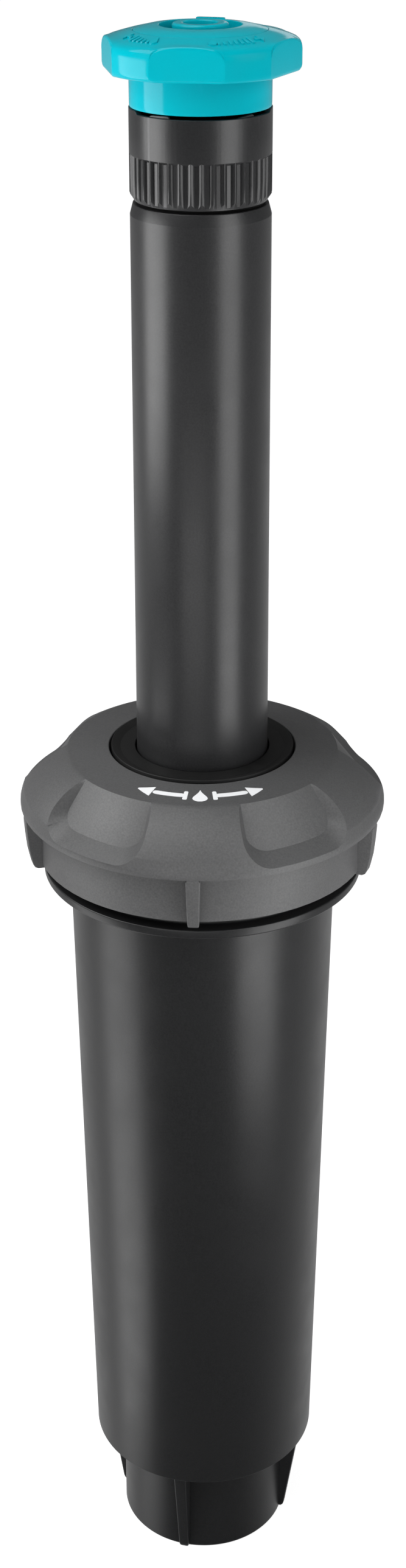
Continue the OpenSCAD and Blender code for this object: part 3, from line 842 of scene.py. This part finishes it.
def head_signs():
    """Raised signs on two lobes of the head: on each, a droplet, a rising scale and an arrow."""
    shape = Shape()
    arc_r, gap = 11.5, 4.2
    # The lobe's middle, the way the scale runs, where it starts, and the count and step of its ticks.
    for centre, way, first, count, step in ((-45, -1, 12, 5, 3.9), (28, 1, 20, 7, 4.1)):
        lines = [droplet(centre - way * first, 10.5, 12.6, 0.6)]
        for i in range(count):
            phi = centre - way * (first - gap - step * i)
            lines.append(tick(phi, 12.4 - mix(0.6, 1.9, i / count), 12.5, 0.22))
        tail = centre - way * (first - gap - step * count)
        lines.append(bar(tail, tail + way * 5, arc_r, 0.24, 4))
        lines.append(spike(tail + way * 4.6, tail + way * 9, arc_r, 0.9))
        for line in lines:
            strip(shape, line, dome_z, 0.22)
    return make("head_raised_signs", shape, "arc_head", TEAL)


# ------------------------------------------------------- carried-over nodes

def carried_over():
    """Materials for the CAD nodes that are shown as they are."""
    looks = {
        "cap_oring": RUBBER, "spring_seat": ACETAL, "guide_ring": ACETAL, "filter_basket": ACETAL,
        "filter_screen": MESH_STEEL, "throttle_seat": ACETAL, "nozzle_gasket": RUBBER,
        "riser_oring": RUBBER, "nozzle_core": BLACK, "head_oring": RUBBER, "head_clip": STEEL,
        "flow_pin": STEEL,
    }
    for node, material in looks.items():
        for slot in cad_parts[node].material_slots:
            slot.link = "OBJECT"
            slot.material = material


housing()
screw_cap()
wiper_seal()
return_spring()
riser()
nozzle_collar()
arc_ring()
top_disc()
throw_knob()
cap_print()
head_signs()
carried_over()


# ------------------------------------------------------- floor, lights, camera

# How far the floor and the backdrop reach, in metres. Other views clip at 13 m.
REACH = 8.0


def floor():
    """Pale floor, and a pale dome far out that only the camera sees."""
    material, tree, shader = new_material("floor_pale")
    shader.inputs["Base Color"].default_value = (0.4, 0.4, 0.4, 1)
    shader.inputs["Roughness"].default_value = 0.9
    shader.inputs["Specular IOR Level"].default_value = 0.0
    shader.inputs["Emission Color"].default_value = (1, 1, 1, 1)
    shader.inputs["Emission Strength"].default_value = 0.97
    square = [(-REACH, -REACH, 0), (REACH, -REACH, 0), (REACH, REACH, 0), (-REACH, REACH, 0)]
    around, up, sunk = 48, 12, 0.01
    rows = []
    for j in range(up):
        e = math.pi / 2 * j / up
        r, z = REACH * math.cos(e), REACH * math.sin(e) - sunk
        rows.append([(r * math.cos(TAU * i / around), r * math.sin(TAU * i / around), z)
                     for i in range(around)])
    dome = Shape()
    dome.rows(rows, close_rows=False)
    dome.cap(0, up - 1, around)
    for name, verts, faces in (("floor", square, [(0, 1, 2, 3)]), ("backdrop", dome.verts, dome.faces)):
        mesh = bpy.data.meshes.new(name)
        mesh.from_pydata(verts, [], faces)
        mesh.materials.append(material)
        sheet = bpy.data.objects.new(name, mesh)
        bpy.context.scene.collection.objects.link(sheet)
        sheet.visible_glossy = False
        sheet.visible_shadow = False
        sheet.visible_diffuse = name == "floor"


def softbox(name, azimuth, elevation, distance, width, height, radiance, aim_z):
    """An even rectangular light, out along a direction from the point it faces on the axis."""
    light = bpy.data.lights.new(name, "AREA")
    light.shape = "RECTANGLE"
    light.size, light.size_y = width, height
    light.energy = radiance * math.pi * width * height
    lamp = bpy.data.objects.new(name, light)
    bpy.context.scene.collection.objects.link(lamp)
    a, e = math.radians(azimuth), math.radians(elevation)
    back = Vector((math.sin(a) * math.cos(e), -math.cos(a) * math.cos(e), math.sin(e)))
    lamp.location = Vector((0, 0, aim_z)) + back * distance
    lamp.rotation_euler = (-back).to_track_quat("-Z", "Y").to_euler()
    lamp.visible_camera = False
    return lamp


def strip_light(name, azimuth, half_angle, low, high, radiance):
    """An upright softbox close to the part, between two heights."""
    near = 0.1
    width = 2 * near * math.tan(math.radians(half_angle))
    return softbox(name, azimuth, 0, near, width, high - low, radiance, (low + high) / 2)


def surround():
    """World light: bright behind and below the part, dim in front of it and overhead."""
    dim, bright = 0.03, 0.55
    world = bpy.data.worlds.new("studio")
    bpy.context.scene.world = world
    world.use_nodes = True
    tree = world.node_tree
    way = tree.nodes.new("ShaderNodeSeparateXYZ")
    tree.links.new(tree.nodes.new("ShaderNodeTexCoord").outputs["Generated"], way.inputs["Vector"])
    both = tree.nodes.new("ShaderNodeMath")
    both.operation = "MULTIPLY"
    tree.links.new(ramp(tree, way.outputs["Y"], -0.35, 0.6, 0, 1), both.inputs[0])
    tree.links.new(ramp(tree, way.outputs["Z"], -0.3, -0.1, 1, 0.18), both.inputs[1])
    background = tree.nodes["Background"]
    background.inputs["Color"].default_value = (1, 1, 1, 1)
    tree.links.new(ramp(tree, both.outputs[0], 0, 1, dim, bright), background.inputs["Strength"])


def light_only(lamp, names):
    """Keep a lamp to the pieces named, as a flag or a card does in a studio."""
    group = bpy.data.collections.new(lamp.name + "_lit")
    for name in names:
        group.objects.link(bpy.data.objects[name])
    lamp.light_linking.receiver_collection = group


def lights():
    """Strips draw the long reflections on the black and grey pieces, and fills light the head."""
    dark = ["housing_shell", "cap_moulding", "cap_turn_print", "wiper_lip_seal", "riser_pipe",
            "fluted_collar"]
    teal = ["adjusting_head", "head_raised_signs", "centre_disc", "throw_adjuster"]
    head_z = 0.257
    surround()
    # A strip's azimuth and half angle in degrees, its low and high end in metres, and its radiance.
    light_only(strip_light("left_upper", -77, 20, 0.164, 0.258, 4.7), dark)
    light_only(strip_light("left_head", -79, 19, 0.164, 0.258, 3.6), teal)
    strip_light("left_lower", -75, 18, -0.08, 0.109, 2.0)
    light_only(strip_light("right", 46, 16, 0.03, 0.3, 3.2), dark)
    # Fills without reflections, which light the head from both sides.
    for name, azimuth, radiance in (("fill_right", 60, 3.4), ("fill_left", -60, 2.4)):
        fill = softbox(name, azimuth, 20, 0.4, 0.3, 0.3, radiance, head_z)
        fill.visible_glossy = False
        light_only(fill, teal)
    light_only(softbox("back_head", 170, 6, 1.0, 0.3, 0.14, 0.65, 0.26), teal)
    strip_light("front_card", -12, 20, 0.112, 0.167, 1.2)
    softbox("overhead", -69, 66, 1.0, 1.0, 1.0, 2.6, 0.15)


def camera():
    """Close in front of the part, looking down at it, with a small shift to frame it."""
    data = bpy.data.cameras.new("camera")
    data.sensor_width = 36
    data.lens = 54.32
    data.shift_y = -0.1113
    cam = bpy.data.objects.new("camera", data)
    bpy.context.scene.collection.objects.link(cam)
    cam.location = (0.00018, -0.3441, 0.30681)
    pitch, roll = math.radians(68.69), math.radians(-0.132)
    cam.rotation_euler = (Matrix.Rotation(pitch, 3, "X") @ Matrix.Rotation(roll, 3, "Z")).to_euler()
    data.clip_start = 0.01
    data.clip_end = 200
    bpy.context.scene.camera = cam


floor()
lights()
camera()
bpy.context.scene.view_settings.view_transform = "Standard"
